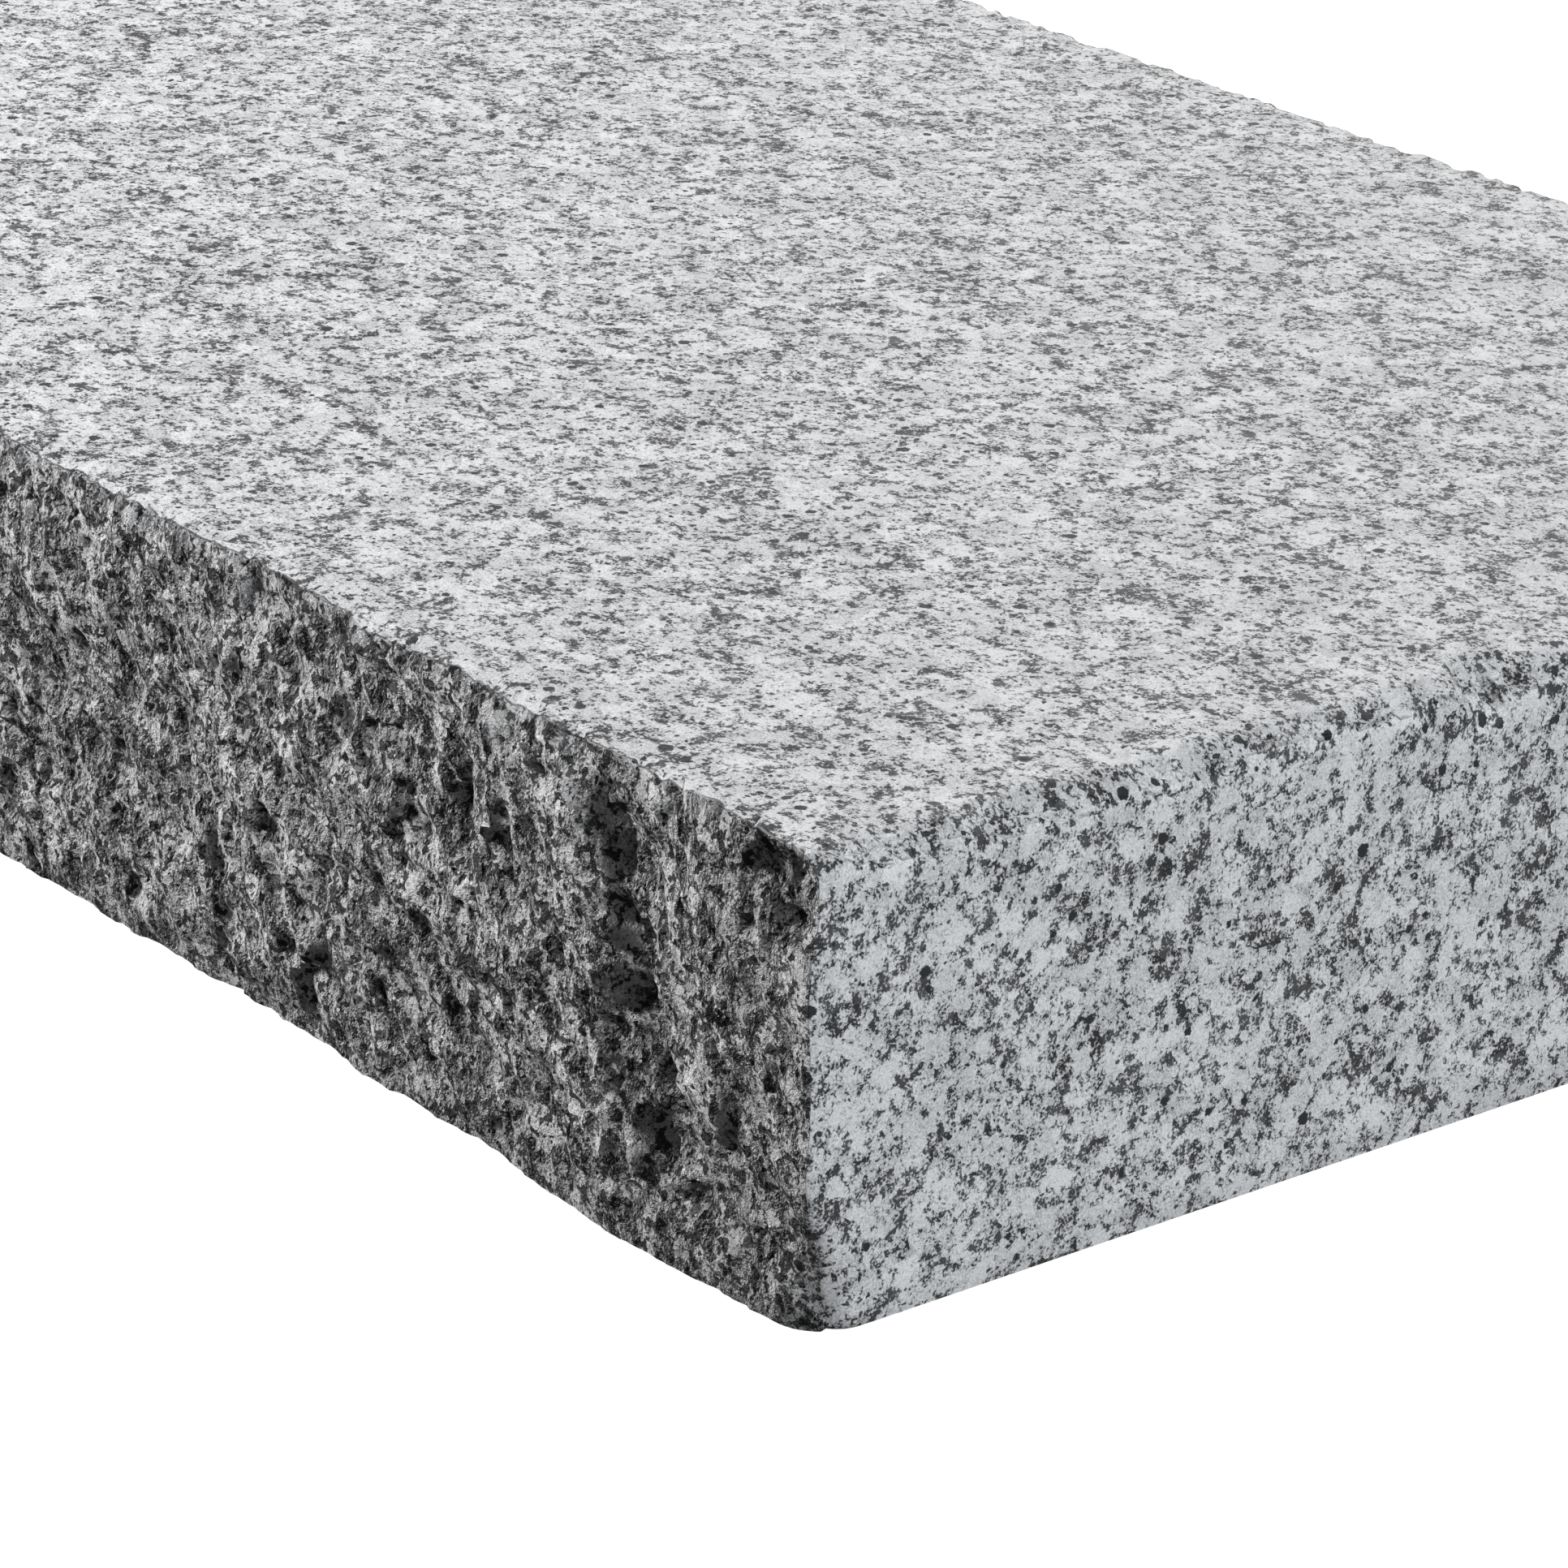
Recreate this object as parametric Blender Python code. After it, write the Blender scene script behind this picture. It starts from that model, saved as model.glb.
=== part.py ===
"""A granite slab: one block of light grey granite with a flat working face.

The two ends and the underside are sawn flat and the top is flamed flat. The two long sides
are split, so they have the broad hollows, a step and the drawn-in foot of broken stone.

Metres. +X runs along the slab, +Z is up, and the split sides face -Y and +Y. The origin is
the middle of the underside.
"""

import random
from dataclasses import dataclass

import bmesh
import bpy
from mathutils import Vector, noise

# Overall size
LENGTH = 0.4064
WIDTH = 0.2160  # over the highest points of the two split sides
THICKNESS = 0.0508

# Worn arrises of the two sawn ends
TOP_ARRIS = 0.0026
FOOT_ARRIS = 0.0012
ARRIS_SEGMENTS = 3

# Split sides: how far each part of the profile lies behind the highest point
HEAD_RECESS = 0.0013
HEAD_BAND = 0.0140  # height below the top over which the head leans back
HEAD_CALM = 0.35  # share of the relief left at the top edge, which broke along a scored line
HEAD_CALM_BAND = 0.0100
FOOT_RECESS = 0.0013
FOOT_BAND = 0.0200  # height above the underside over which the foot leans back
SWELL_HEIGHT = 0.0009
SWELL_LENGTH = 0.0420
RIPPLE_HEIGHT = 0.0005
RIPPLE_LENGTH = 0.0150
FACET_SIZE = 0.0050  # spacing of the points that carry the relief

# Hollows left where flakes came away, scattered over each side
SCATTERED_PER_METRE = 34
SCATTERED_HALF_LENGTH = (0.0070, 0.0160)
SCATTERED_HALF_HEIGHT = (0.0050, 0.0110)
SCATTERED_DEPTH = (0.0005, 0.0016)
SIDE_SEEDS = {-1: 11, 1: 29}
BARE_LENGTH = 0.0750  # stretch of the front side that only carries the placed hollows

# Lower front corner, worn back at the +X end
CORNER_WEAR = 0.0026
CORNER_WEAR_LENGTH = 0.0120
CORNER_WEAR_HEIGHT = 0.0200

GRANITE_COLOUR = (0.42, 0.42, 0.43, 1.0)
GRANITE_ROUGHNESS = 0.75


@dataclass(frozen=True)
class Hollow:
    """A shell-shaped hollow in a split side.

    `along` is measured from the +X end and `below` from the top.
    """

    along: float
    below: float
    half_length: float
    half_height: float
    depth: float

    def recess(self, along: float, below: float) -> float:
        """Depth of the hollow at a point of the side."""
        u = (along - self.along) / self.half_length
        v = (below - self.below) / self.half_height
        return self.depth * max(0.0, 1.0 - u * u - v * v)


@dataclass(frozen=True)
class Step:
    """A steep step that runs down a split side, with the low side towards the +X end."""

    head_along: float
    head_below: float
    foot_along: float
    foot_below: float
    height: float
    rise: float  # length over which the surface climbs the step
    fade: float  # length over which the low side climbs back
    end_fade: float  # how far past its head and foot the step dies away

    def recess(self, along: float, below: float) -> float:
        """Depth of the low side at a point of the side."""
        share = (below - self.head_below) / (self.foot_below - self.head_below)
        line = self.head_along + share * (self.foot_along - self.head_along)
        past = max(self.head_below - below, below - self.foot_below, 0.0)
        strength = self.height * smooth_step(1.0 - past / self.end_fade)
        distance = line - along
        climb = smooth_step(distance / self.rise + 0.5)
        back = smooth_step(1.0 - distance / self.fade)
        return strength * climb * back


# The front side, by its +X end: a flake gone from under the top corner, the step, and the
# larger hollows beside them
FRONT_HOLLOWS = (
    Hollow(along=0.0055, below=0.0052, half_length=0.0068, half_height=0.0058, depth=0.0024),
    Hollow(along=0.0270, below=0.0065, half_length=0.0070, half_height=0.0055, depth=0.0016),
    Hollow(along=0.0620, below=0.0110, half_length=0.0070, half_height=0.0130, depth=0.0016),
    Hollow(along=0.0560, below=0.0420, half_length=0.0170, half_height=0.0120, depth=0.0015),
    Hollow(along=0.0130, below=0.0440, half_length=0.0130, half_height=0.0090, depth=0.0012),
)
FRONT_STEP = Step(
    head_along=0.0330,
    head_below=0.0090,
    foot_along=0.0250,
    foot_below=0.0370,
    height=0.0028,
    rise=0.0030,
    fade=0.0170,
    end_fade=0.0070,
)


def smooth_step(value: float) -> float:
    """Ramp from 0 to 1 with level ends, for a value that runs from 0 to 1."""
    value = min(max(value, 0.0), 1.0)
    return value * value * (3.0 - 2.0 * value)


def scattered_hollows(seed: int, start: float) -> list[Hollow]:
    """Hollows scattered over one side, from `start` along it to its far end."""
    chance = random.Random(seed)
    hollows = []
    for _ in range(round(SCATTERED_PER_METRE * (LENGTH - start))):
        hollows.append(
            Hollow(
                along=chance.uniform(start, LENGTH),
                below=chance.uniform(0.0, THICKNESS),
                half_length=chance.uniform(*SCATTERED_HALF_LENGTH),
                half_height=chance.uniform(*SCATTERED_HALF_HEIGHT),
                depth=chance.uniform(*SCATTERED_DEPTH),
            )
        )
    return hollows


def profile_recess(below: float) -> float:
    """How far the head and the foot of a split side lean back from its middle."""
    head = max(0.0, 1.0 - below / HEAD_BAND)
    foot = max(0.0, 1.0 - (THICKNESS - below) / FOOT_BAND)
    return HEAD_RECESS * head**2 + FOOT_RECESS * foot**2


def wave(along: float, below: float, seed: int, length: float) -> float:
    """Smooth noise from -1 to 1 with the given wavelength."""
    return noise.noise(Vector((along / length, below / length, seed)))


def side_recess(side: int, along: float, below: float, hollows: list[Hollow]) -> float:
    """How far a point of a split side lies behind a flat plane."""
    seed = SIDE_SEEDS[side]
    relief = SWELL_HEIGHT * wave(along, below, seed, SWELL_LENGTH)
    relief += RIPPLE_HEIGHT * wave(along, below, seed + 1, RIPPLE_LENGTH)
    relief += max(hollow.recess(along, below) for hollow in hollows)
    calm = HEAD_CALM + (1.0 - HEAD_CALM) * smooth_step(below / HEAD_CALM_BAND)
    recess = profile_recess(below) + calm * relief
    if side < 0:
        recess += calm * FRONT_STEP.recess(along, below)
        low = smooth_step(1.0 - (THICKNESS - below) / CORNER_WEAR_HEIGHT)
        recess += CORNER_WEAR * low * smooth_step(1.0 - along / CORNER_WEAR_LENGTH)
    return recess


def sawn_block() -> bmesh.types.BMesh:
    """The block before its sides are split, with the arrises of its ends rounded."""
    mesh = bmesh.new()
    bmesh.ops.create_cube(mesh, size=1.0)
    bmesh.ops.scale(mesh, vec=(LENGTH, WIDTH, THICKNESS), verts=mesh.verts)
    bmesh.ops.translate(mesh, vec=(0.0, 0.0, THICKNESS / 2), verts=mesh.verts)
    for height, radius in ((THICKNESS, TOP_ARRIS), (0.0, FOOT_ARRIS)):
        arrises = [
            edge
            for edge in mesh.edges
            if all(abs(vert.co.z - height) < 1e-6 for vert in edge.verts)
            and abs(edge.verts[0].co.x - edge.verts[1].co.x) < 1e-6
        ]
        bmesh.ops.bevel(
            mesh,
            geom=arrises,
            offset=radius,
            offset_type="OFFSET",
            segments=ARRIS_SEGMENTS,
            profile=0.5,
            affect="EDGES",
        )
    return mesh


def cut_across(mesh: bmesh.types.BMesh, axis: int, low: float, high: float) -> None:
    """Cut the block by evenly spaced planes from `low` to `high` along one axis."""
    normal = Vector((0.0, 0.0, 0.0))
    normal[axis] = 1.0
    spaces = round((high - low) / FACET_SIZE)
    for index in range(spaces + 1):
        point = normal * (low + (high - low) * index / spaces)
        geometry = mesh.verts[:] + mesh.edges[:] + mesh.faces[:]
        bmesh.ops.bisect_plane(mesh, geom=geometry, dist=1e-6, plane_co=point, plane_no=normal)


def split_sides(mesh: bmesh.types.BMesh) -> None:
    """Give both long sides their relief, so that each one's highest point stays at WIDTH / 2."""
    hollows = {
        -1: list(FRONT_HOLLOWS) + scattered_hollows(SIDE_SEEDS[-1], BARE_LENGTH),
        1: scattered_hollows(SIDE_SEEDS[1], 0.0),
    }
    for side, side_hollows in hollows.items():
        verts = [vert for vert in mesh.verts if abs(vert.co.y - side * WIDTH / 2) < 1e-6]
        recesses = [
            side_recess(side, LENGTH / 2 - vert.co.x, THICKNESS - vert.co.z, side_hollows)
            for vert in verts
        ]
        highest = min(recesses)
        for vert, recess in zip(verts, recesses):
            vert.co.y = side * (WIDTH / 2 - (recess - highest))


def granite() -> bpy.types.Material:
    """Plain light grey stone."""
    material = bpy.data.materials.new("granite")
    material.use_nodes = True
    shader = material.node_tree.nodes["Principled BSDF"]
    shader.inputs["Base Color"].default_value = GRANITE_COLOUR
    shader.inputs["Roughness"].default_value = GRANITE_ROUGHNESS
    shader.inputs["Metallic"].default_value = 0.0
    return material


def granite_slab() -> bpy.types.Object:
    """The slab, as one closed solid."""
    block = sawn_block()
    end = LENGTH / 2 - TOP_ARRIS
    cut_across(block, 0, -end, end)
    cut_across(block, 2, FOOT_ARRIS, THICKNESS - TOP_ARRIS)
    split_sides(block)
    mesh = bpy.data.meshes.new("granite_slab")
    block.to_mesh(mesh)
    block.free()
    mesh.materials.append(granite())
    slab = bpy.data.objects.new("granite_slab", mesh)
    bpy.context.scene.collection.objects.link(slab)
    return slab


for old in list(bpy.data.objects):
    bpy.data.objects.remove(old, do_unlink=True)
granite_slab()
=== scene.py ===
"""The looks of the granite slab: broken sides, flamed top, sawn ends, and the stone itself.

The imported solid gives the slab's size, its worn corner and the large hollows of its split
sides. This script models the stone's surface over that shape and gives it its crystals.
"""

import logging
import math
from dataclasses import dataclass, field
from enum import Enum
from typing import Callable

import bmesh
import bpy
import numpy as np
from mathutils import Matrix, Vector
from mathutils.bvhtree import BVHTree

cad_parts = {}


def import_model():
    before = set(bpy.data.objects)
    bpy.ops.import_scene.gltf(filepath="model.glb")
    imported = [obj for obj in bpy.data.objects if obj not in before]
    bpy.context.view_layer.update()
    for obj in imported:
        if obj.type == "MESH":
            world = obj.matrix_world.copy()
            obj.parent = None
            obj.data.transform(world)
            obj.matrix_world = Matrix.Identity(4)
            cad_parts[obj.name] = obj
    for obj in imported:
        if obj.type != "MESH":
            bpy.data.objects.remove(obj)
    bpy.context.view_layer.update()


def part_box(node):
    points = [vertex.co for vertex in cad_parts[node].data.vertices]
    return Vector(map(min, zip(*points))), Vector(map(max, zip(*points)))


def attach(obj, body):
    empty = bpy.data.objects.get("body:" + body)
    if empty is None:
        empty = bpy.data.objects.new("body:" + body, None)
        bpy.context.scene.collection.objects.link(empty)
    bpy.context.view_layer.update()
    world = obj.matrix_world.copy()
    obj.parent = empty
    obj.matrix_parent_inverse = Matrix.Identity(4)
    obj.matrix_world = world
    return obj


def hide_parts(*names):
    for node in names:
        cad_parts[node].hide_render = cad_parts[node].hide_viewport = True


log = logging.getLogger("granite_slab")


class Side(Enum):
    """The two long sides, by the sign of their outward direction along Y."""

    FRONT = -1
    BACK = 1


# --- Shader building ---------------------------------------------------------------------


class Value:
    """A number worked out by a shader, so that maths on it reads as an expression."""

    def __init__(self, shader: "Shader", socket: bpy.types.NodeSocket) -> None:
        """Wrap one output socket."""
        self.shader = shader
        self.socket = socket

    def __add__(self, other: "Value | float") -> "Value":
        """Sum."""
        return self.shader.maths("ADD", self, other)

    __radd__ = __add__

    def __sub__(self, other: "Value | float") -> "Value":
        """Difference."""
        return self.shader.maths("SUBTRACT", self, other)

    def __rsub__(self, other: float) -> "Value":
        """Difference from a plain number."""
        return self.shader.maths("SUBTRACT", other, self)

    def __mul__(self, other: "Value | float") -> "Value":
        """Product."""
        return self.shader.maths("MULTIPLY", self, other)

    __rmul__ = __mul__

    def __truediv__(self, other: "Value | float") -> "Value":
        """Quotient."""
        return self.shader.maths("DIVIDE", self, other)

    def at_least(self, other: "Value | float") -> "Value":
        """The larger of the two."""
        return self.shader.maths("MAXIMUM", self, other)

    def at_most(self, other: "Value | float") -> "Value":
        """The smaller of the two."""
        return self.shader.maths("MINIMUM", self, other)

    def ramp(self, low: "Value | float", high: "Value | float") -> "Value":
        """Smooth climb from 0 at `low` to 1 at `high`."""
        node = self.shader.node(
            "ShaderNodeMapRange",
            {"interpolation_type": "SMOOTHSTEP"},
            {"Value": self, "From Min": low, "From Max": high},
        )
        return Value(self.shader, node.outputs["Result"])


class Shader:
    """The node tree of one material, with short calls for what stone needs."""

    def __init__(self, material: bpy.types.Material) -> None:
        """Start from an empty tree with its output."""
        material.use_nodes = True
        self.tree = material.node_tree
        self.tree.nodes.clear()
        coordinates = self.node("ShaderNodeTexCoord", {}, {})
        self.place = coordinates.outputs["Object"]

    def node(self, kind: str, settings: dict, inputs: dict) -> bpy.types.Node:
        """Add a node.

        Args:
            kind: Blender's type name of the node.
            settings: Properties, set before the sockets.
            inputs: Numbers, colours, sockets or Values, by socket name or place.

        Returns:
            The new node.
        """
        made = self.tree.nodes.new(kind)
        for name, value in settings.items():
            setattr(made, name, value)
        for name, value in inputs.items():
            socket = made.inputs[name]
            if isinstance(value, Value):
                value = value.socket
            if isinstance(value, bpy.types.NodeSocket):
                self.tree.links.new(value, socket)
            else:
                socket.default_value = value
        return made

    def maths(self, operation: str, first: "Value | float", second: "Value | float") -> Value:
        """One Math node on two numbers.

        Args:
            operation: Blender's name of the operation.
            first: Left number.
            second: Right number.

        Returns:
            The result.
        """
        node = self.node("ShaderNodeMath", {"operation": operation}, {0: first, 1: second})
        return Value(self, node.outputs[0])

    def attribute(self, name: str) -> Value:
        """Read a number stored on the mesh's points, by its name."""
        node = self.node("ShaderNodeAttribute", {"attribute_name": name}, {})
        return Value(self, node.outputs["Fac"])

    def mottle(
        self, place: bpy.types.NodeSocket, size: float, detail: float = 2.0, rough: float = 0.5
    ) -> Value:
        """Cloudy noise from about 0.25 to 0.75.

        Args:
            place: Where to read it, in metres.
            size: Width of a cloud, in metres.
            detail: Number of finer layers.
            rough: Strength of each finer layer.

        Returns:
            The noise.
        """
        node = self.node(
            "ShaderNodeTexNoise",
            {},
            {"Vector": place, "Scale": 1.0 / size, "Detail": detail, "Roughness": rough},
        )
        return Value(self, node.outputs["Fac"])

    def moved(
        self, place: bpy.types.NodeSocket, offset: tuple[float, float, float]
    ) -> bpy.types.NodeSocket:
        """Shift a place, so that a second pattern differs from the first.

        Args:
            place: Where to start from.
            offset: How far to shift.

        Returns:
            The shifted place.
        """
        node = self.node("ShaderNodeVectorMath", {"operation": "ADD"}, {0: place, 1: offset})
        return node.outputs[0]

    def stretched(
        self, place: bpy.types.NodeSocket, lean: float, stretch: float
    ) -> bpy.types.NodeSocket:
        """A place that draws patterns out along a line near the vertical.

        Args:
            place: Where to start from.
            lean: Angle of the line from the vertical, about Y, in radians.
            stretch: How much longer patterns get along the line, and narrower across it.

        Returns:
            The place to read a pattern at.
        """
        node = self.node(
            "ShaderNodeMapping",
            {"vector_type": "TEXTURE"},
            {
                "Vector": place,
                "Rotation": (0.0, lean, 0.0),
                "Scale": (1.0 / stretch, 1.0, stretch),
            },
        )
        return node.outputs[0]

    def ragged(
        self, place: bpy.types.NodeSocket, size: float, reach: float
    ) -> bpy.types.NodeSocket:
        """A place pushed about by noise, which makes the outlines drawn over it ragged.

        Args:
            place: Where to start from.
            size: Width of one push, in metres.
            reach: Largest push, in metres.

        Returns:
            The pushed place.
        """
        noise = self.node(
            "ShaderNodeTexNoise",
            {},
            {"Vector": place, "Scale": 1.0 / size, "Detail": 2.0, "Roughness": 0.6},
        )
        centred = self.node(
            "ShaderNodeVectorMath",
            {"operation": "SUBTRACT"},
            {0: noise.outputs["Color"], 1: (0.5, 0.5, 0.5)},
        )
        push = self.node(
            "ShaderNodeVectorMath",
            {"operation": "SCALE"},
            {0: centred.outputs[0], "Scale": 2.0 * reach},
        )
        node = self.node(
            "ShaderNodeVectorMath", {"operation": "ADD"}, {0: place, 1: push.outputs[0]}
        )
        return node.outputs[0]

    def crystals(
        self, place: bpy.types.NodeSocket, size: float
    ) -> tuple[Value, Value, Value, Value]:
        """A packing of crystals.

        Args:
            place: Where to read it, in metres.
            size: Spacing of the crystals, in metres.

        Returns:
            Distance from the crystal's middle, as a share of the size, and three chance
            numbers from 0 to 1 that each crystal has for itself.
        """
        node = self.node("ShaderNodeTexVoronoi", {}, {"Vector": place, "Scale": 1.0 / size})
        split = self.node("ShaderNodeSeparateColor", {}, {"Color": node.outputs["Color"]})
        chances = [Value(self, split.outputs[index]) for index in range(3)]
        return Value(self, node.outputs["Distance"]), *chances

    def faces(self, place: bpy.types.NodeSocket, size: float) -> tuple[Value, Value]:
        """A packing of flat crystal faces, each tilted its own way.

        Args:
            place: Where to read it, in metres.
            size: Width of a face, in metres.

        Returns:
            Height of the faces, in metres for a mean slope of a quarter, and a chance
            number from 0 to 1 that each face has for itself.
        """
        cells = self.node("ShaderNodeTexVoronoi", {}, {"Vector": place, "Scale": 1.0 / size})
        away = self.node(
            "ShaderNodeVectorMath",
            {"operation": "SUBTRACT"},
            {0: place, 1: cells.outputs["Position"]},
        )
        tilt = self.node(
            "ShaderNodeVectorMath",
            {"operation": "SUBTRACT"},
            {0: cells.outputs["Color"], 1: (0.5, 0.5, 0.5)},
        )
        height = self.node(
            "ShaderNodeVectorMath",
            {"operation": "DOT_PRODUCT"},
            {0: away.outputs[0], 1: tilt.outputs[0]},
        )
        split = self.node("ShaderNodeSeparateColor", {}, {"Color": cells.outputs["Color"]})
        return Value(self, height.outputs["Value"]), Value(self, split.outputs[0])

    def blend(
        self,
        share: Value,
        under: "bpy.types.NodeSocket | tuple[float, float, float]",
        over: "bpy.types.NodeSocket | tuple[float, float, float]",
    ) -> bpy.types.NodeSocket:
        """Lay one colour over another.

        Args:
            share: How much of the upper colour shows, from 0 to 1.
            under: The lower colour.
            over: The upper colour.

        Returns:
            The blended colour.
        """
        pads = [(*c, 1.0) if isinstance(c, tuple) else c for c in (under, over)]
        node = self.node(
            "ShaderNodeMix", {"data_type": "RGBA"}, {0: share, 6: pads[0], 7: pads[1]}
        )
        return node.outputs[2]


def grey(level: float, blue: float = 0.0) -> tuple[float, float, float]:
    """A grey of the given brightness, cooled by a share of blue."""
    return (level * (1.0 - blue), level, level * (1.0 + blue))


# --- The stone ---------------------------------------------------------------------------


@dataclass(frozen=True)
class Granite:
    """The stone: the brightness and size of its crystals, and the relief of its faces.

    Colours are linear. Sizes and heights are in metres. A pair of limits says where a noise
    starts to show and where it shows in full.
    """

    feldspar: tuple[float, float, float] = grey(0.700, 0.003)
    quartz: tuple[float, float, float] = grey(0.400, 0.008)
    haze: tuple[float, float, float] = grey(0.240, 0.008)
    biotite: tuple[float, float, float] = grey(0.028, 0.010)
    # mica: white of the painted glints, which stand in for light flashing off crystal faces
    mica: tuple[float, float, float] = grey(0.920)
    shade: tuple[float, float, float] = grey(0.010)

    feldspar_size: float = 0.0036
    speck_size: float = 0.00085
    grit_size: float = 0.00032
    knot_size: float = 0.0026
    fleck_size: float = 0.0027
    spot_size: float = 0.0013
    cloud_size: float = 0.0080
    mica_size: float = 0.0014
    facet_size: float = 0.0021
    rubble_size: float = 0.0032
    crumb_size: float = 0.0007
    powder_size: float = 0.00022

    broken_limits: tuple[float, float] = (0.80, 0.98)
    quartz_limits: tuple[float, float] = (0.40, 0.85)
    haze_limits: tuple[float, float] = (0.46, 0.58)
    black_limits: tuple[float, float] = (0.547, 0.597)
    spot_limits: tuple[float, float] = (0.565, 0.600)
    pit_limits: tuple[float, float] = (0.38, 0.45)

    lean: float = -0.26  # of the streaks on the split sides, in radians
    stretch: float = 1.38
    facet_slope: float = 1.8
    rubble_height: float = 0.0024
    crumb_height: float = 0.00115
    spot_depth: float = 0.00025
    roughness: float = 0.62
    specular: float = 0.3

    def material(self) -> bpy.types.Material:
        """Build the stone.

        Returns:
            The material, which reads the mesh's `broken` and `flamed` numbers and its number for
            painted shade in hollows and at the foot, and for a darker band below the top edge.
        """
        made = bpy.data.materials.new("granite")
        shader = Shader(made)
        broken = shader.attribute("broken").ramp(*self.broken_limits)
        flamed = shader.attribute("flamed")
        # Painted shade in the split sides' hollows and along their foot, and a darker band below
        # their top edge
        hollow_and_painted_shade = shader.attribute("hollow_and_painted_shade")

        # What lies where
        place = shader.ragged(shader.place, 0.0007, 0.00020)
        away, tone, kind, rise = shader.crystals(place, self.feldspar_size)
        fine = shader.mottle(shader.place, self.powder_size, 2.0, 0.7)
        patch = shader.mottle(shader.place, self.cloud_size, 2.0)
        dark = self.darkness(shader, place, away, patch) - flamed * 0.002
        # More small black flecks on the split sides, and more still where shade is painted in
        # hollows and along the foot
        fleck = self.flecks(shader, place, patch, broken * (0.10 + hollow_and_painted_shade * 0.14))
        painted_glints = self.painted_glints(shader)
        run = shader.stretched(shader.place, self.lean, self.stretch)
        rubble = shader.mottle(run, self.rubble_size, 5.0, 0.60)
        crumbs = shader.mottle(shader.place, self.crumb_size, 3.0, 0.7)
        near = shader.ragged(run, 0.0007, 0.00030)
        facets, facet_tone = shader.faces(near, self.facet_size)
        spots = shader.mottle(shader.moved(place, (0.6, 0.7, 0.1)), self.spot_size, 2.0, 0.55)
        spots = spots.ramp(*self.spot_limits) * broken

        # Colour, from the palest crystals to the blackest, then painted shade in the lows, with
        # painted glints of mica and feldspar over all
        quartz = (kind * 0.45 + patch * 0.8).ramp(*self.quartz_limits)
        share = 0.20 + quartz * 0.34 + (tone - 0.5) * 0.30 + (0.5 - fine) * 3.0 - flamed * 0.06
        colour = shader.blend(share.at_least(0.0).at_most(1.0), self.feldspar, self.quartz)
        hazy = dark.ramp(*self.haze_limits) * (0.80 - broken * 0.35 - flamed * 0.25)
        colour = shader.blend(hazy, colour, self.haze)
        dull = (0.8 - facet_tone) * 0.24 + (0.5 - fine) * 1.1
        colour = shader.blend((broken * dull).at_least(0.0), colour, self.shade)
        black = (dark.ramp(*self.black_limits) * (0.82 + kind * 0.18)).at_least(fleck)
        colour = shader.blend(black.at_least(spots), colour, self.biotite)
        # Painted shade: the lows of the relief, the hollows and the foot are blended towards
        # near-black; in the lows this also stands for dark crystals
        low = 1.0 - rubble.ramp(*self.pit_limits)
        painted_pit_shade = broken * (hollow_and_painted_shade * 0.24 + low * 0.36).at_most(0.95)
        colour = shader.blend(painted_pit_shade, colour, self.shade)
        # Painted glints: white specks for light flashing off crystal faces, stronger on the split
        # sides
        colour = shader.blend(painted_glints * (0.35 + broken * 0.6), colour, self.mica)

        # Relief: split, flamed and sawn stone
        split = (
            facets * self.facet_slope
            + rubble * self.rubble_height
            + crumbs * self.crumb_height
            - spots * self.spot_depth
        )
        spalled = crumbs * 0.00042 + rubble * 0.00060 + rise * 0.00003 - black * 0.00008
        sawn = crumbs * 0.00012 + rubble * 0.00006 - black * 0.00003
        relief = split * broken + (spalled * flamed + sawn * (1.0 - flamed)) * (1.0 - broken)
        bump = shader.node(
            "ShaderNodeBump", {}, {"Strength": 1.0, "Distance": 1.0, "Height": relief}
        )
        surface = shader.node(
            "ShaderNodeBsdfPrincipled",
            {},
            {
                "Base Color": colour,
                "Roughness": self.roughness + flamed * 0.12 - black * 0.14 - painted_glints * 0.35,
                "Normal": bump.outputs[0],
                "IOR": 1.5,
                "Specular IOR Level": self.specular,
            },
        )
        shader.node("ShaderNodeOutputMaterial", {}, {"Surface": surface.outputs[0]})
        return made

    def darkness(
        self, shader: Shader, place: bpy.types.NodeSocket, away: Value, patch: Value
    ) -> Value:
        """How dark the stone is between its pale crystals, in clouds of ragged specks.

        Args:
            shader: Where to build it.
            place: Where to read it.
            away: Distance from the middle of the nearest pale crystal, as a share of its size.
            patch: Slow noise that gathers the specks in clouds.

        Returns:
            A number near 0.5, above which specks show.
        """
        specks = shader.mottle(shader.moved(place, (0.7, 0.4, 0.9)), self.speck_size, 2.0, 0.55)
        grit = shader.mottle(shader.moved(place, (0.4, 0.9, 0.3)), self.grit_size, 2.0, 0.6)
        knots = shader.mottle(shader.moved(place, (0.9, 0.2, 0.6)), self.knot_size, 1.0)
        _, chance, _, _ = shader.crystals(
            shader.moved(place, (0.3, 0.5, 0.2)), self.speck_size * 1.3
        )
        mixed = specks * 0.48 + grit * 0.48 + knots * 0.24 - 0.100 + (chance - 0.5) * 0.12
        return mixed + (patch - 0.5) * 0.06 + (away - 0.42) * 0.14

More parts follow.
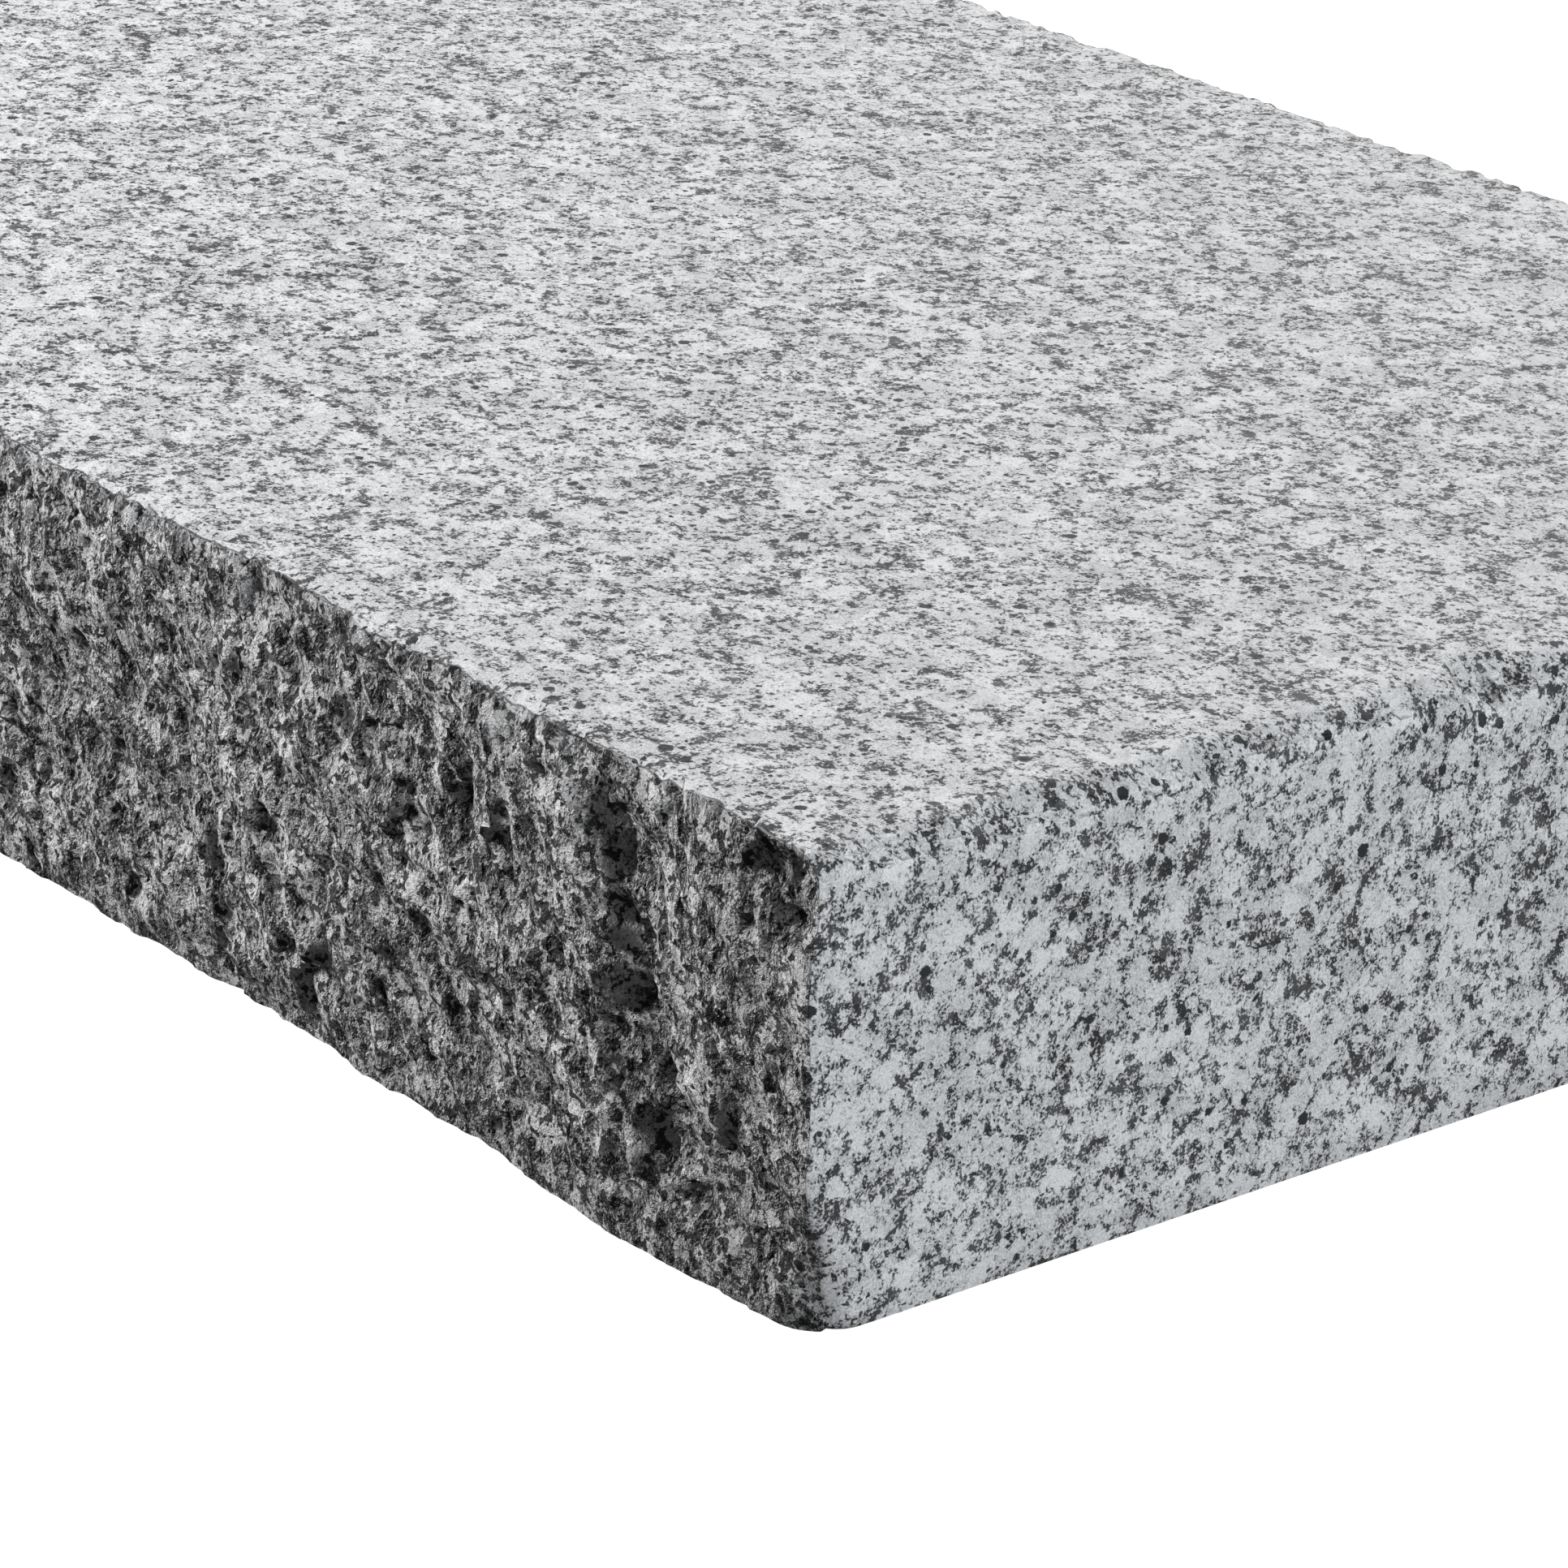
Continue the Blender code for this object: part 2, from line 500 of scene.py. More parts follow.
    def flecks(
        self, shader: Shader, place: bpy.types.NodeSocket, patch: Value, more: Value
    ) -> Value:
        """Single black biotite flecks, large and small.

        Args:
            shader: Where to build them.
            place: Where to read them.
            patch: Slow noise that gathers them in clouds.
            more: Added share of the small ones.

        Returns:
            1 in a fleck and 0 between them.
        """
        torn = shader.ragged(place, 0.00045, 0.00030)
        away, chance, width, _ = shader.crystals(
            shader.moved(torn, (0.2, 0.8, 0.5)), self.fleck_size
        )
        chosen = (patch * 0.9 - 0.20 - chance).ramp(0.0, 0.02)
        large = chosen * (0.10 + width * 0.22 - away).ramp(0.0, 0.05)
        away, chance, width, _ = shader.crystals(
            shader.moved(torn, (0.5, 0.1, 0.8)), self.fleck_size * 0.45
        )
        small = (patch * 0.8 - 0.05 + more - chance).ramp(0.0, 0.02)
        return large.at_least(small * (0.14 + width * 0.20 - away).ramp(0.0, 0.06))

    def painted_glints(self, shader: Shader) -> Value:
        """Painted glints, for light off mica and feldspar faces: 1 on a glint, 0 between."""
        away, chance, width, _ = shader.crystals(shader.place, self.mica_size)
        return (chance - 0.965).ramp(0.0, 0.005) * (0.10 + width * 0.16 - away).ramp(0.0, 0.05)


# --- The slab ----------------------------------------------------------------------------


def smooth_step(value: np.ndarray) -> np.ndarray:
    """Ramp from 0 to 1 with level ends."""
    value = np.clip(value, 0.0, 1.0)
    return value * value * (3.0 - 2.0 * value)


@dataclass(frozen=True)
class Chip:
    """A flake gone from the top arris of each end.

    `across` is measured from the front side at the front end, and from the back side at the
    other end. The sizes are in metres.
    """

    across: float
    half_length: float
    depth: float


@dataclass(frozen=True)
class Hollow:
    """A pocket where a lump has come away from the front split side.

    `along` is measured from the front end and `below` from the top, in metres.
    """

    along: float
    below: float
    half_length: float
    half_height: float
    depth: float


@dataclass(frozen=True)
class Ledge:
    """A sharp drop along a leaning line on the front split side, towards the front end.

    The line runs between two points, given as for a hollow. The drop is `depth` deep, takes
    `rise` to fall and `fade` to climb back, all in metres.
    """

    head_along: float
    head_below: float
    foot_along: float
    foot_below: float
    depth: float
    rise: float
    fade: float

    def recess(self, along: np.ndarray, below: np.ndarray) -> np.ndarray:
        """How far the drop lies behind the stone round it.

        Args:
            along: Distance of each point from the front end.
            below: Distance of each point from the top.

        Returns:
            A depth for each point, in metres.
        """
        down = (below - self.head_below) / (self.foot_below - self.head_below)
        past = self.head_along + (self.foot_along - self.head_along) * down - along
        fading = smooth_step(2.0 - 2.4 * np.abs(down - 0.5)) * np.clip(1.5 * down, 0.0, 1.2)
        fall = smooth_step(past / self.rise)
        climb = smooth_step(1.0 - past / self.fade)
        return self.depth * fading * fall * climb


@dataclass(frozen=True)
class Facets:
    """One layer of the broken surface: how wide its facets are and how high they stand."""

    size: float
    height: float
    seed: int


def facet_height(points: np.ndarray, size: float, seed: int) -> np.ndarray:
    """Height of a surface of small tilted facets, as crystals leave when stone breaks.

    Args:
        points: Places on a plane, one row each, in metres.
        size: Width of a facet, in metres.
        seed: Picks the arrangement.

    Returns:
        A height for each point, from about -1 to 1.
    """
    sharpness = 26.0
    lift_share = 0.6
    chance = np.random.default_rng(seed)
    cells = points / size
    low = np.floor(cells.min(axis=0)).astype(int) - 2
    counts = np.ceil(cells.max(axis=0)).astype(int) - low + 3
    middles = chance.random((*counts, 2))
    tilts = chance.uniform(-1.0, 1.0, (*counts, 2))
    lifts = chance.uniform(-1.0, 1.0, counts)
    base = np.floor(cells).astype(int)
    total = np.zeros(len(points))
    weight = np.zeros(len(points))
    for step_u in (-1, 0, 1):
        for step_v in (-1, 0, 1):
            cell = base + (step_u, step_v)
            index = tuple((cell - low).T)
            away = cells - cell - middles[index]
            share = np.exp(-sharpness * (away**2).sum(axis=1))
            slope = (tilts[index] * away).sum(axis=1)
            total += share * (lift_share * lifts[index] + slope)
            weight += share
    return total / weight


def wavy(values: np.ndarray, length: float, seed: int) -> np.ndarray:
    """Smooth noise from -1 to 1 along a line.

    Args:
        values: Places along the line, in metres.
        length: Spacing of the swings, in metres.
        seed: Picks the swings.

    Returns:
        The noise at each place.
    """
    knots = np.arange(values.min() - length, values.max() + 2 * length, length)
    swings = np.random.default_rng(seed).uniform(-1.0, 1.0, len(knots))
    step = np.clip(((values - knots[0]) / length).astype(int), 0, len(knots) - 2)
    share = smooth_step((values - knots[step]) / length)
    return swings[step] * (1.0 - share) + swings[step + 1] * share


@dataclass
class GraniteSlab:
    """The slab's surface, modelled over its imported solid. Lengths are in metres."""

    node: str = "granite_slab"
    body: str = "root"
    material_slot: str = "granite"
    low: Vector = field(default_factory=Vector)
    high: Vector = field(default_factory=Vector)

    # The grid: how many parts each cut makes
    parts_along: tuple[int, ...] = (13, 13)
    parts_across: tuple[int, ...] = (90,)
    parts_up: tuple[int, ...] = (21,)
    fine_cuts: int = 2
    arris_band: float = 0.0045  # strip beside an end's arrises that is cut finely
    plain_margin: float = 0.0060  # strip of the underside that keeps its grid
    reading_step: float = 0.0024  # spacing at which the solid's sides are read
    reading_rows: int = 23
    reading_margin: float = 0.0001

    # Arrises and corners
    top_arris: float = 0.0026
    foot_arris: float = 0.0012
    upright_arris: float = 0.0006
    arris_chipping: float = 0.0011
    foot_wear: float = 0.0050
    wear_height: float = 0.0200
    back_head: float = 0.0032  # how much fuller the back side stands at its head
    back_head_height: float = 0.0150
    chips: tuple[Chip, ...] = (
        Chip(0.0500, 0.0040, 0.0015),
        Chip(0.0880, 0.0060, 0.0028),
        Chip(0.0230, 0.0040, 0.0010),
        Chip(0.1240, 0.0045, 0.0016),
        Chip(0.1620, 0.0055, 0.0016),
    )

    # The split sides
    skew: float = 0.30  # lean of the facets, as X for each Z
    squash: float = 0.8
    sinking: float = 0.0004  # how far the whole broken surface lies back
    give: float = 0.0090  # how far in from a split side the stone's grid follows its relief
    tearing: float = 0.0010  # how far the outlines of hollows wander
    tear_size: float = 0.0028
    layers: tuple[Facets, ...] = (
        Facets(0.0170, 0.00120, 3),
        Facets(0.0085, 0.00100, 7),
        Facets(0.0045, 0.00070, 13),
        Facets(0.0024, 0.00070, 21),
    )
    hollows: tuple[Hollow, ...] = (
        Hollow(0.0042, 0.0058, 0.0030, 0.0052, 0.0022),
        Hollow(0.0084, 0.0040, 0.0034, 0.0040, 0.0016),
        Hollow(0.0270, 0.0290, 0.0060, 0.0070, 0.0014),
        Hollow(0.0560, 0.0150, 0.0035, 0.0090, 0.0010),
    )
    ledge: Ledge = Ledge(0.0330, 0.0090, 0.0250, 0.0370, 0.0007, 0.0010, 0.0160)
    nick_reach: float = 0.0032
    painted_shade_foot: float = 0.0100  # heights of the darker bands: painted shade at the foot, and one below the top edge
    dark_head: float = 0.0036

    def build(self) -> bpy.types.Object:
        """Model and dress the slab.

        Returns:
            The finished piece.
        """
        low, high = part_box(self.node)
        self.low, self.high = Vector(low), Vector(high)
        slab = self.block()
        self.refine(slab)
        self.shape(slab)
        self.flame(slab)
        self.dress(slab)
        return slab

    # Modelling

    def block(self) -> bpy.types.Object:
        """Make a plain block of the solid's size, cut into a grid.

        Returns:
            The block.
        """
        bpy.ops.object.select_all(action="DESELECT")
        size = self.high - self.low
        middle = (self.high + self.low) / 2
        bpy.ops.mesh.primitive_cube_add(size=1.0, location=middle)
        slab = bpy.context.object
        slab.name = "slab_surface"
        slab.scale = size
        bpy.ops.object.transform_apply(location=True, rotation=True, scale=True)
        bpy.ops.object.mode_set(mode="EDIT")
        for axis, parts in enumerate((self.parts_along, self.parts_across, self.parts_up)):
            for count in parts:
                self.pick_edges(slab, axis)
                bpy.ops.mesh.subdivide(number_cuts=count - 1)
        bpy.ops.object.mode_set(mode="OBJECT")
        return slab

    def pick_edges(self, slab: bpy.types.Object, axis: int) -> None:
        """Select the edges that run along one axis.

        Args:
            slab: The piece, in edit mode.
            axis: 0, 1 or 2 for X, Y or Z.
        """
        bpy.ops.mesh.select_all(action="DESELECT")
        bpy.ops.mesh.select_mode(type="EDGE")
        mesh = bmesh.from_edit_mesh(slab.data)
        for edge in mesh.edges:
            run = edge.verts[1].co - edge.verts[0].co
            edge.select_set(abs(run[axis]) > 0.9 * run.length)
        bmesh.update_edit_mesh(slab.data)

    def pick_faces(self, slab: bpy.types.Object, wanted: Callable[[Vector, Vector], bool]) -> None:
        """Select faces by a test.

        Args:
            slab: The piece, in edit mode.
            wanted: Says from a face's middle and outward direction whether to take it.
        """
        bpy.ops.mesh.select_all(action="DESELECT")
        bpy.ops.mesh.select_mode(type="FACE")
        mesh = bmesh.from_edit_mesh(slab.data)
        for face in mesh.faces:
            face.select_set(wanted(face.calc_center_median(), face.normal))
        bmesh.update_edit_mesh(slab.data)

    def refine(self, slab: bpy.types.Object) -> None:
        """Cut the split sides and the worn arrises finely, and clear the flat underside."""

        def carries_detail(middle: Vector, outward: Vector) -> bool:
            """True on a split side, and beside an end's top and upright arrises."""
            if abs(outward.y) > 0.9:
                return True
            by_end = self.high.x - abs(middle.x) < self.arris_band
            by_top = self.high.z - middle.z < self.arris_band
            by_side = self.high.y - abs(middle.y) < self.arris_band
            return by_end and (by_top or by_side)

        def plain(middle: Vector, outward: Vector) -> bool:
            """True on the inner part of the underside."""
            inside_x = self.high.x - abs(middle.x) > self.plain_margin
            inside_y = self.high.y - abs(middle.y) > self.plain_margin
            return outward.z < -0.9 and inside_x and inside_y

        bpy.ops.object.mode_set(mode="EDIT")
        self.pick_faces(slab, carries_detail)
        bpy.ops.mesh.subdivide(number_cuts=self.fine_cuts)
        self.pick_faces(slab, plain)
        bpy.ops.mesh.dissolve_faces()
        bpy.ops.object.mode_set(mode="OBJECT")

    def solid_sides(self) -> dict[Side, Callable[[np.ndarray, np.ndarray], np.ndarray]]:
        """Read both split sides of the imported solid.

        Returns:
            For each side, a function that gives the Y of the side at places along X and Z.
        """
        solid = bpy.data.objects[self.node]
        tree = BVHTree.FromObject(solid, bpy.context.evaluated_depsgraph_get())
        margin = self.reading_margin
        columns = math.ceil((self.high.x - self.low.x - 2 * margin) / self.reading_step)
        along = np.linspace(self.low.x + margin, self.high.x - margin, columns)
        height = np.linspace(self.low.z + margin, self.high.z - margin, self.reading_rows)
        readers = {}
        for side in Side:
            grid = np.full((len(along), len(height)), side.value * self.high.y)
            for row, x in enumerate(along):
                for column, z in enumerate(height):
                    met = self.meet(tree, x, z, side)
                    if met is not None:
                        grid[row, column] = met
            readers[side] = self.reader(along, height, grid)
        return readers

    def meet(self, tree: BVHTree, x: float, z: float, side: Side) -> float | None:
        """Find where a line along Y meets a side of the solid.

        Args:
            tree: The solid.
            x: X of the line, moved in from a rounded arris where it would miss.
            z: Z of the line.
            side: Which side to come from.

        Returns:
            Y of the meeting point, or None where there is none.
        """
        inward = Vector((0.0, -side.value, 0.0))
        outside = side.value * self.high.y * 1.5
        for inset in (0.0, 0.0010, 0.0020, 0.0030):
            reach = math.copysign(min(abs(x), self.high.x - inset), x)
            hit = tree.ray_cast(Vector((reach, outside, z)), inward)[0]
            if hit is not None:
                return hit.y
        return None

    @staticmethod
    def reader(
        along: np.ndarray, height: np.ndarray, grid: np.ndarray
    ) -> Callable[[np.ndarray, np.ndarray], np.ndarray]:
        """Make a function that reads a grid of numbers between its points.

        Args:
            along: X of the grid's rows, evenly spaced.
            height: Z of the grid's columns, evenly spaced.
            grid: The numbers.

        Returns:
            The function, of X and Z.
        """

        def read(x: np.ndarray, z: np.ndarray) -> np.ndarray:
            """Value of the grid at each place."""
            u = np.clip((x - along[0]) / (along[1] - along[0]), 0, len(along) - 1.001)
            v = np.clip((z - height[0]) / (height[1] - height[0]), 0, len(height) - 1.001)
            i, j = u.astype(int), v.astype(int)
            s, t = u - i, v - j
            lower = grid[i, j] * (1 - s) + grid[i + 1, j] * s
            upper = grid[i, j + 1] * (1 - s) + grid[i + 1, j + 1] * s
            return lower * (1 - t) + upper * t

        return read

    def broken_depth(self, along: np.ndarray, height: np.ndarray, side: Side) -> np.ndarray:
        """How far the broken stone lies behind the solid's side.

        Args:
            along: X of each point.
            height: Z of each point.
            side: Which side it is.

        Returns:
            A depth for each point, in metres, below zero where the stone stands proud.
        """
        points = np.stack((along + self.skew * height, self.squash * height), axis=1)
        depth = np.zeros(len(along))
        for layer in self.layers:
            depth += layer.height * facet_height(points, layer.size, layer.seed + side.value)
        from_head = smooth_step((self.high.z - height) / 0.0050)
        from_foot = smooth_step((height - self.low.z) / 0.0060)
        from_end = smooth_step((self.high.x - np.abs(along)) / 0.0070)
        depth *= (0.45 + 0.55 * from_head) * (0.40 + 0.60 * from_foot) * (0.25 + 0.75 * from_end)
        if side is Side.FRONT:
            tear = self.tearing * facet_height(points, self.tear_size, 31)
            drop = self.tearing * facet_height(points, self.tear_size, 32)
            from_front = self.high.x - along + tear
            below = self.high.z - height + drop
            for hollow_and_painted_shade in self.hollows:
                u = (from_front - hollow_and_painted_shade.along) / hollow_and_painted_shade.half_length
                v = (below - hollow_and_painted_shade.below) / hollow_and_painted_shade.half_height
                depth += hollow_and_painted_shade.depth * smooth_step(1.6 * (1.0 - u**2 - v**2))
            depth += self.ledge.recess(from_front, below)
        return depth

    def shape(self, slab: bpy.types.Object) -> None:
        """Move the block's points onto the worn, broken surface."""
        mesh = slab.data
        home = np.empty(len(mesh.vertices) * 3)
        mesh.vertices.foreach_get("co", home)
        home = home.reshape(-1, 3)
        place = home.copy()
        self.round_ends(place, home[:, 1])
        self.wear_uprights(place)
        self.follow_solid(place, home)
        # How much painted shade each point gets, filled in by break_side for the material
        hollow_and_painted_shade = np.zeros(len(home))
        broken = np.zeros(len(home))
        for side in Side:
            self.break_side(place, home, side, hollow_and_painted_shade, broken)
        flamed = smooth_step((home[:, 2] - self.high.z + self.arris_band) / 0.0020)
        mesh.vertices.foreach_set("co", place.ravel())
        for name, values in (("broken", broken), ("hollow_and_painted_shade", hollow_and_painted_shade), ("flamed", flamed)):
            layer = mesh.attributes.new(name, "FLOAT", "POINT")
            layer.data.foreach_set("value", values)
        mesh.update()

    def follow_solid(self, place: np.ndarray, home: np.ndarray) -> None:
        """Stretch the block across, so that its sides lie on the solid's.

        Args:
            place: Points, changed in place.
            home: The same points on the block.
        """
        x, z = home[:, 0], home[:, 2]
        readers = self.solid_sides()
        share = (place[:, 1] - self.low.y) / (self.high.y - self.low.y)
        edges = {side: readers[side](x, z) for side in Side}
        head = smooth_step(1.0 - (self.high.z - z) / self.back_head_height)
        edges[Side.BACK] += self.back_head * head
        place[:, 1] = edges[Side.FRONT] * (1.0 - share) + edges[Side.BACK] * share

    def break_side(
        self,
        place: np.ndarray,
        home: np.ndarray,
        side: Side,
        hollow_and_painted_shade: np.ndarray,
        broken: np.ndarray,
    ) -> None:
        """Give one split side its relief.

        Args:
            place: Points, changed in place.
            home: The same points on the block.
            side: Which side it is.
            hollow_and_painted_shade: Painted darkening of each point, as shade in hollows and at
                the foot, changed in place.
            broken: 1 for each point on a split side, changed in place.
        """
        tiny = 1e-6
        x, y, z = home.T
        inside = self.high.y - side.value * y
        near = inside < self.give
        depth = self.broken_depth(x[near], z[near], side)
        sunk = side.value * (depth + self.sinking) * (1.0 - inside[near] / self.give)
        place[near, 1] = self.held_in(place[near, 1] - sunk, side)
        on_side = inside < tiny
        # Painted shade: darker colour where the broken stone lies deep and along the foot, plus a
        # darker band just below the top edge
        deep = smooth_step((depth[inside[near] < tiny] - 0.0002) / 0.0012)
        foot = smooth_step(1.0 - (z[on_side] - self.low.z) / self.painted_shade_foot)
        head = smooth_step(1.0 - (self.high.z - z[on_side]) / self.dark_head)
        hollow_and_painted_shade[on_side] = deep + foot + 0.5 * head
        broken[on_side] = 1.0
        self.nick_edge(place, home, on_side, side)

    def held_in(self, across: np.ndarray, side: Side) -> np.ndarray:
        """Ease points back inside the solid's width, without a hard limit.

        Args:
            across: Y of each point.
            side: The side they are near.

        Returns:
            The eased Y of each point.
        """
        ease = 0.0004
        room = self.high.y - side.value * across
        return side.value * (self.high.y - ease * np.log1p(np.exp(np.minimum(room / ease, 60.0))))

    def round_ends(self, place: np.ndarray, across: np.ndarray) -> None:
        """Round the arrises of the two ends, and chip the top one.

        Args:
            place: Points, changed in place.
            across: Y of each point on the block.
        """
        for end in (-1, 1):
            seed = 40 + end
            wander = wavy(across, 0.0090, seed) * 0.30 + wavy(across, 0.0035, seed + 3) * 0.22
            top = self.top_arris * (1.0 + wander)
            self.round_corner(place, end, self.high.z, top)
            self.round_corner(place, end, self.low.z, np.full(len(across), self.foot_arris))
            spot = np.stack((place[:, 1], place[:, 0] - end * place[:, 2]), axis=1)
            corner = np.hypot(place[:, 0] - end * self.high.x, place[:, 2] - self.high.z)
            push = smooth_step(1.0 - corner / self.arris_band) * self.arris_chipping
            push *= 0.5 + 0.5 * facet_height(spot, 0.0030, seed + 5)
            place[:, 0] -= end * push
            place[:, 2] -= push
        for chip in self.chips:
            centre = self.low.y + chip.across
            self.knock_off(place, 1, centre, chip)
            self.knock_off(place, -1, -centre, chip)

    def wear_uprights(self, place: np.ndarray) -> None:
        """Round the four upright arrises, and wear the front corner's back at its foot.

        Args:
            place: Points, changed in place.
        """
        for end in (-1, 1):
            for side in Side:
                worn = end > 0 and side is Side.FRONT
                low_down = smooth_step(1.0 - (place[:, 2] - self.low.z) / self.wear_height)
                radius = self.upright_arris + (self.foot_wear * low_down if worn else 0.0)
                past_x = np.maximum(0.0, end * place[:, 0] - (self.high.x - radius))
                past_y = np.maximum(0.0, side.value * place[:, 1] - (self.high.y - radius))
                square = np.maximum(past_x, past_y)
                shrink = square / np.maximum(np.hypot(past_x, past_y), 1e-9)
                shrink = np.where((past_x > 0.0) & (past_y > 0.0), shrink, 1.0)
                place[:, 0] += end * past_x * (shrink - 1.0)
                place[:, 1] += side.value * past_y * (shrink - 1.0)

    def round_corner(self, place: np.ndarray, end: int, level: float, radius: np.ndarray) -> None:
        """Turn one square arris of an end into a round one.

        Args:
            place: Points, changed in place.
            end: Sign of the end's X.
            level: Height of the arris.
            radius: Radius at each point.
        """
        upward = 1.0 if level > (self.low.z + self.high.z) / 2 else -1.0
        past_x = np.maximum(0.0, end * place[:, 0] - (self.high.x - radius))
        past_z = np.maximum(0.0, upward * (place[:, 2] - level) + radius)
        inside = (past_x > 0.0) & (past_z > 0.0)
        square = np.maximum(past_x, past_z)
        shrink = np.where(inside, square / np.maximum(np.hypot(past_x, past_z), 1e-9), 1.0)
        place[:, 0] += end * past_x * (shrink - 1.0)
        place[:, 2] += upward * past_z * (shrink - 1.0)

    def knock_off(self, place: np.ndarray, end: int, centre: float, chip: Chip) -> None:
        """Press one chip into the top arris of an end.

        Args:
            place: Points, changed in place.
            end: Sign of the end's X.
            centre: Y of the chip's middle.
            chip: Its size.
        """
        reach = chip.half_length
        corner_x = end * self.high.x
        away = (place[:, 1] - centre) / reach
        back = np.hypot(place[:, 0] - corner_x, place[:, 2] - self.high.z) / reach
        strength = np.maximum(0.0, 1.0 - away**2 - back**2)
        ragged = 0.8 + 0.4 * wavy(place[:, 1], 0.0013, 90)
        push = chip.depth * strength * ragged * math.sqrt(0.5)
        place[:, 0] -= end * push
        place[:, 2] -= push

    def nick_edge(
        self, place: np.ndarray, home: np.ndarray, on_side: np.ndarray, side: Side
    ) -> None:
        """Nick the upper edge of a split side.

        Args:
            place: Points, changed in place.
            home: The same points on the block.
            on_side: Which points lie on the side.
            side: Which side it is.
        """
        by_edge = on_side & (self.high.z - home[:, 2] < self.nick_reach)
        run = home[by_edge, 0]
        nicks = np.maximum(0.0, wavy(run, 0.0016, 5 + side.value)) * 0.00115
        nicks += np.maximum(0.0, wavy(run, 0.0070, 15 + side.value) - 0.30) * 0.0010
        nicks *= 1.0 - (self.high.z - home[by_edge, 2]) / self.nick_reach
        if side is Side.BACK:
            nicks *= 0.4
        place[by_edge, 2] -= nicks
        place[by_edge, 1] -= side.value * nicks * 0.5

    def flame(self, slab: bpy.types.Object) -> None:
        """Roughen the top, as a flame does when it flakes the surface off."""
        group = slab.vertex_groups.new(name="flamed")
        level = self.high.z - 0.0030
        chosen = [v.index for v in slab.data.vertices if v.normal.z > 0.5 and v.co.z > level]
        group.add(chosen, 1.0, "REPLACE")
        texture = bpy.data.textures.new("flamed_surface", "CLOUDS")
        texture.noise_scale = 0.0060
        texture.noise_depth = 2
        roughen = slab.modifiers.new("flamed", "DISPLACE")
        roughen.texture = texture
        roughen.texture_coords = "LOCAL"
        roughen.direction = "Z"
        roughen.mid_level = 1.0
        roughen.strength = 0.0006
        roughen.vertex_group = "flamed"
        bpy.context.view_layer.objects.active = slab
        bpy.ops.object.modifier_apply(modifier="flamed")

    # Finish

    def dress(self, slab: bpy.types.Object) -> None:
        """Shade the slab and give it its stone."""
        slab.data.materials.clear()
        slab.data.materials.append(Granite().material())
        bpy.ops.object.select_all(action="DESELECT")
        slab.select_set(True)
        bpy.context.view_layer.objects.active = slab
        bpy.ops.object.shade_smooth_by_angle(angle=math.radians(38.0))


# --- Studio ------------------------------------------------------------------------------


@dataclass(frozen=True)
class Lamp:
    """A square soft lamp: where it hangs, how wide it is and how bright, in SI units."""

    name: str
    direction: tuple[float, float, float]
    distance: float
    size: float
    watts: float
    colour: tuple[float, float, float] = (1.0, 1.0, 1.0)


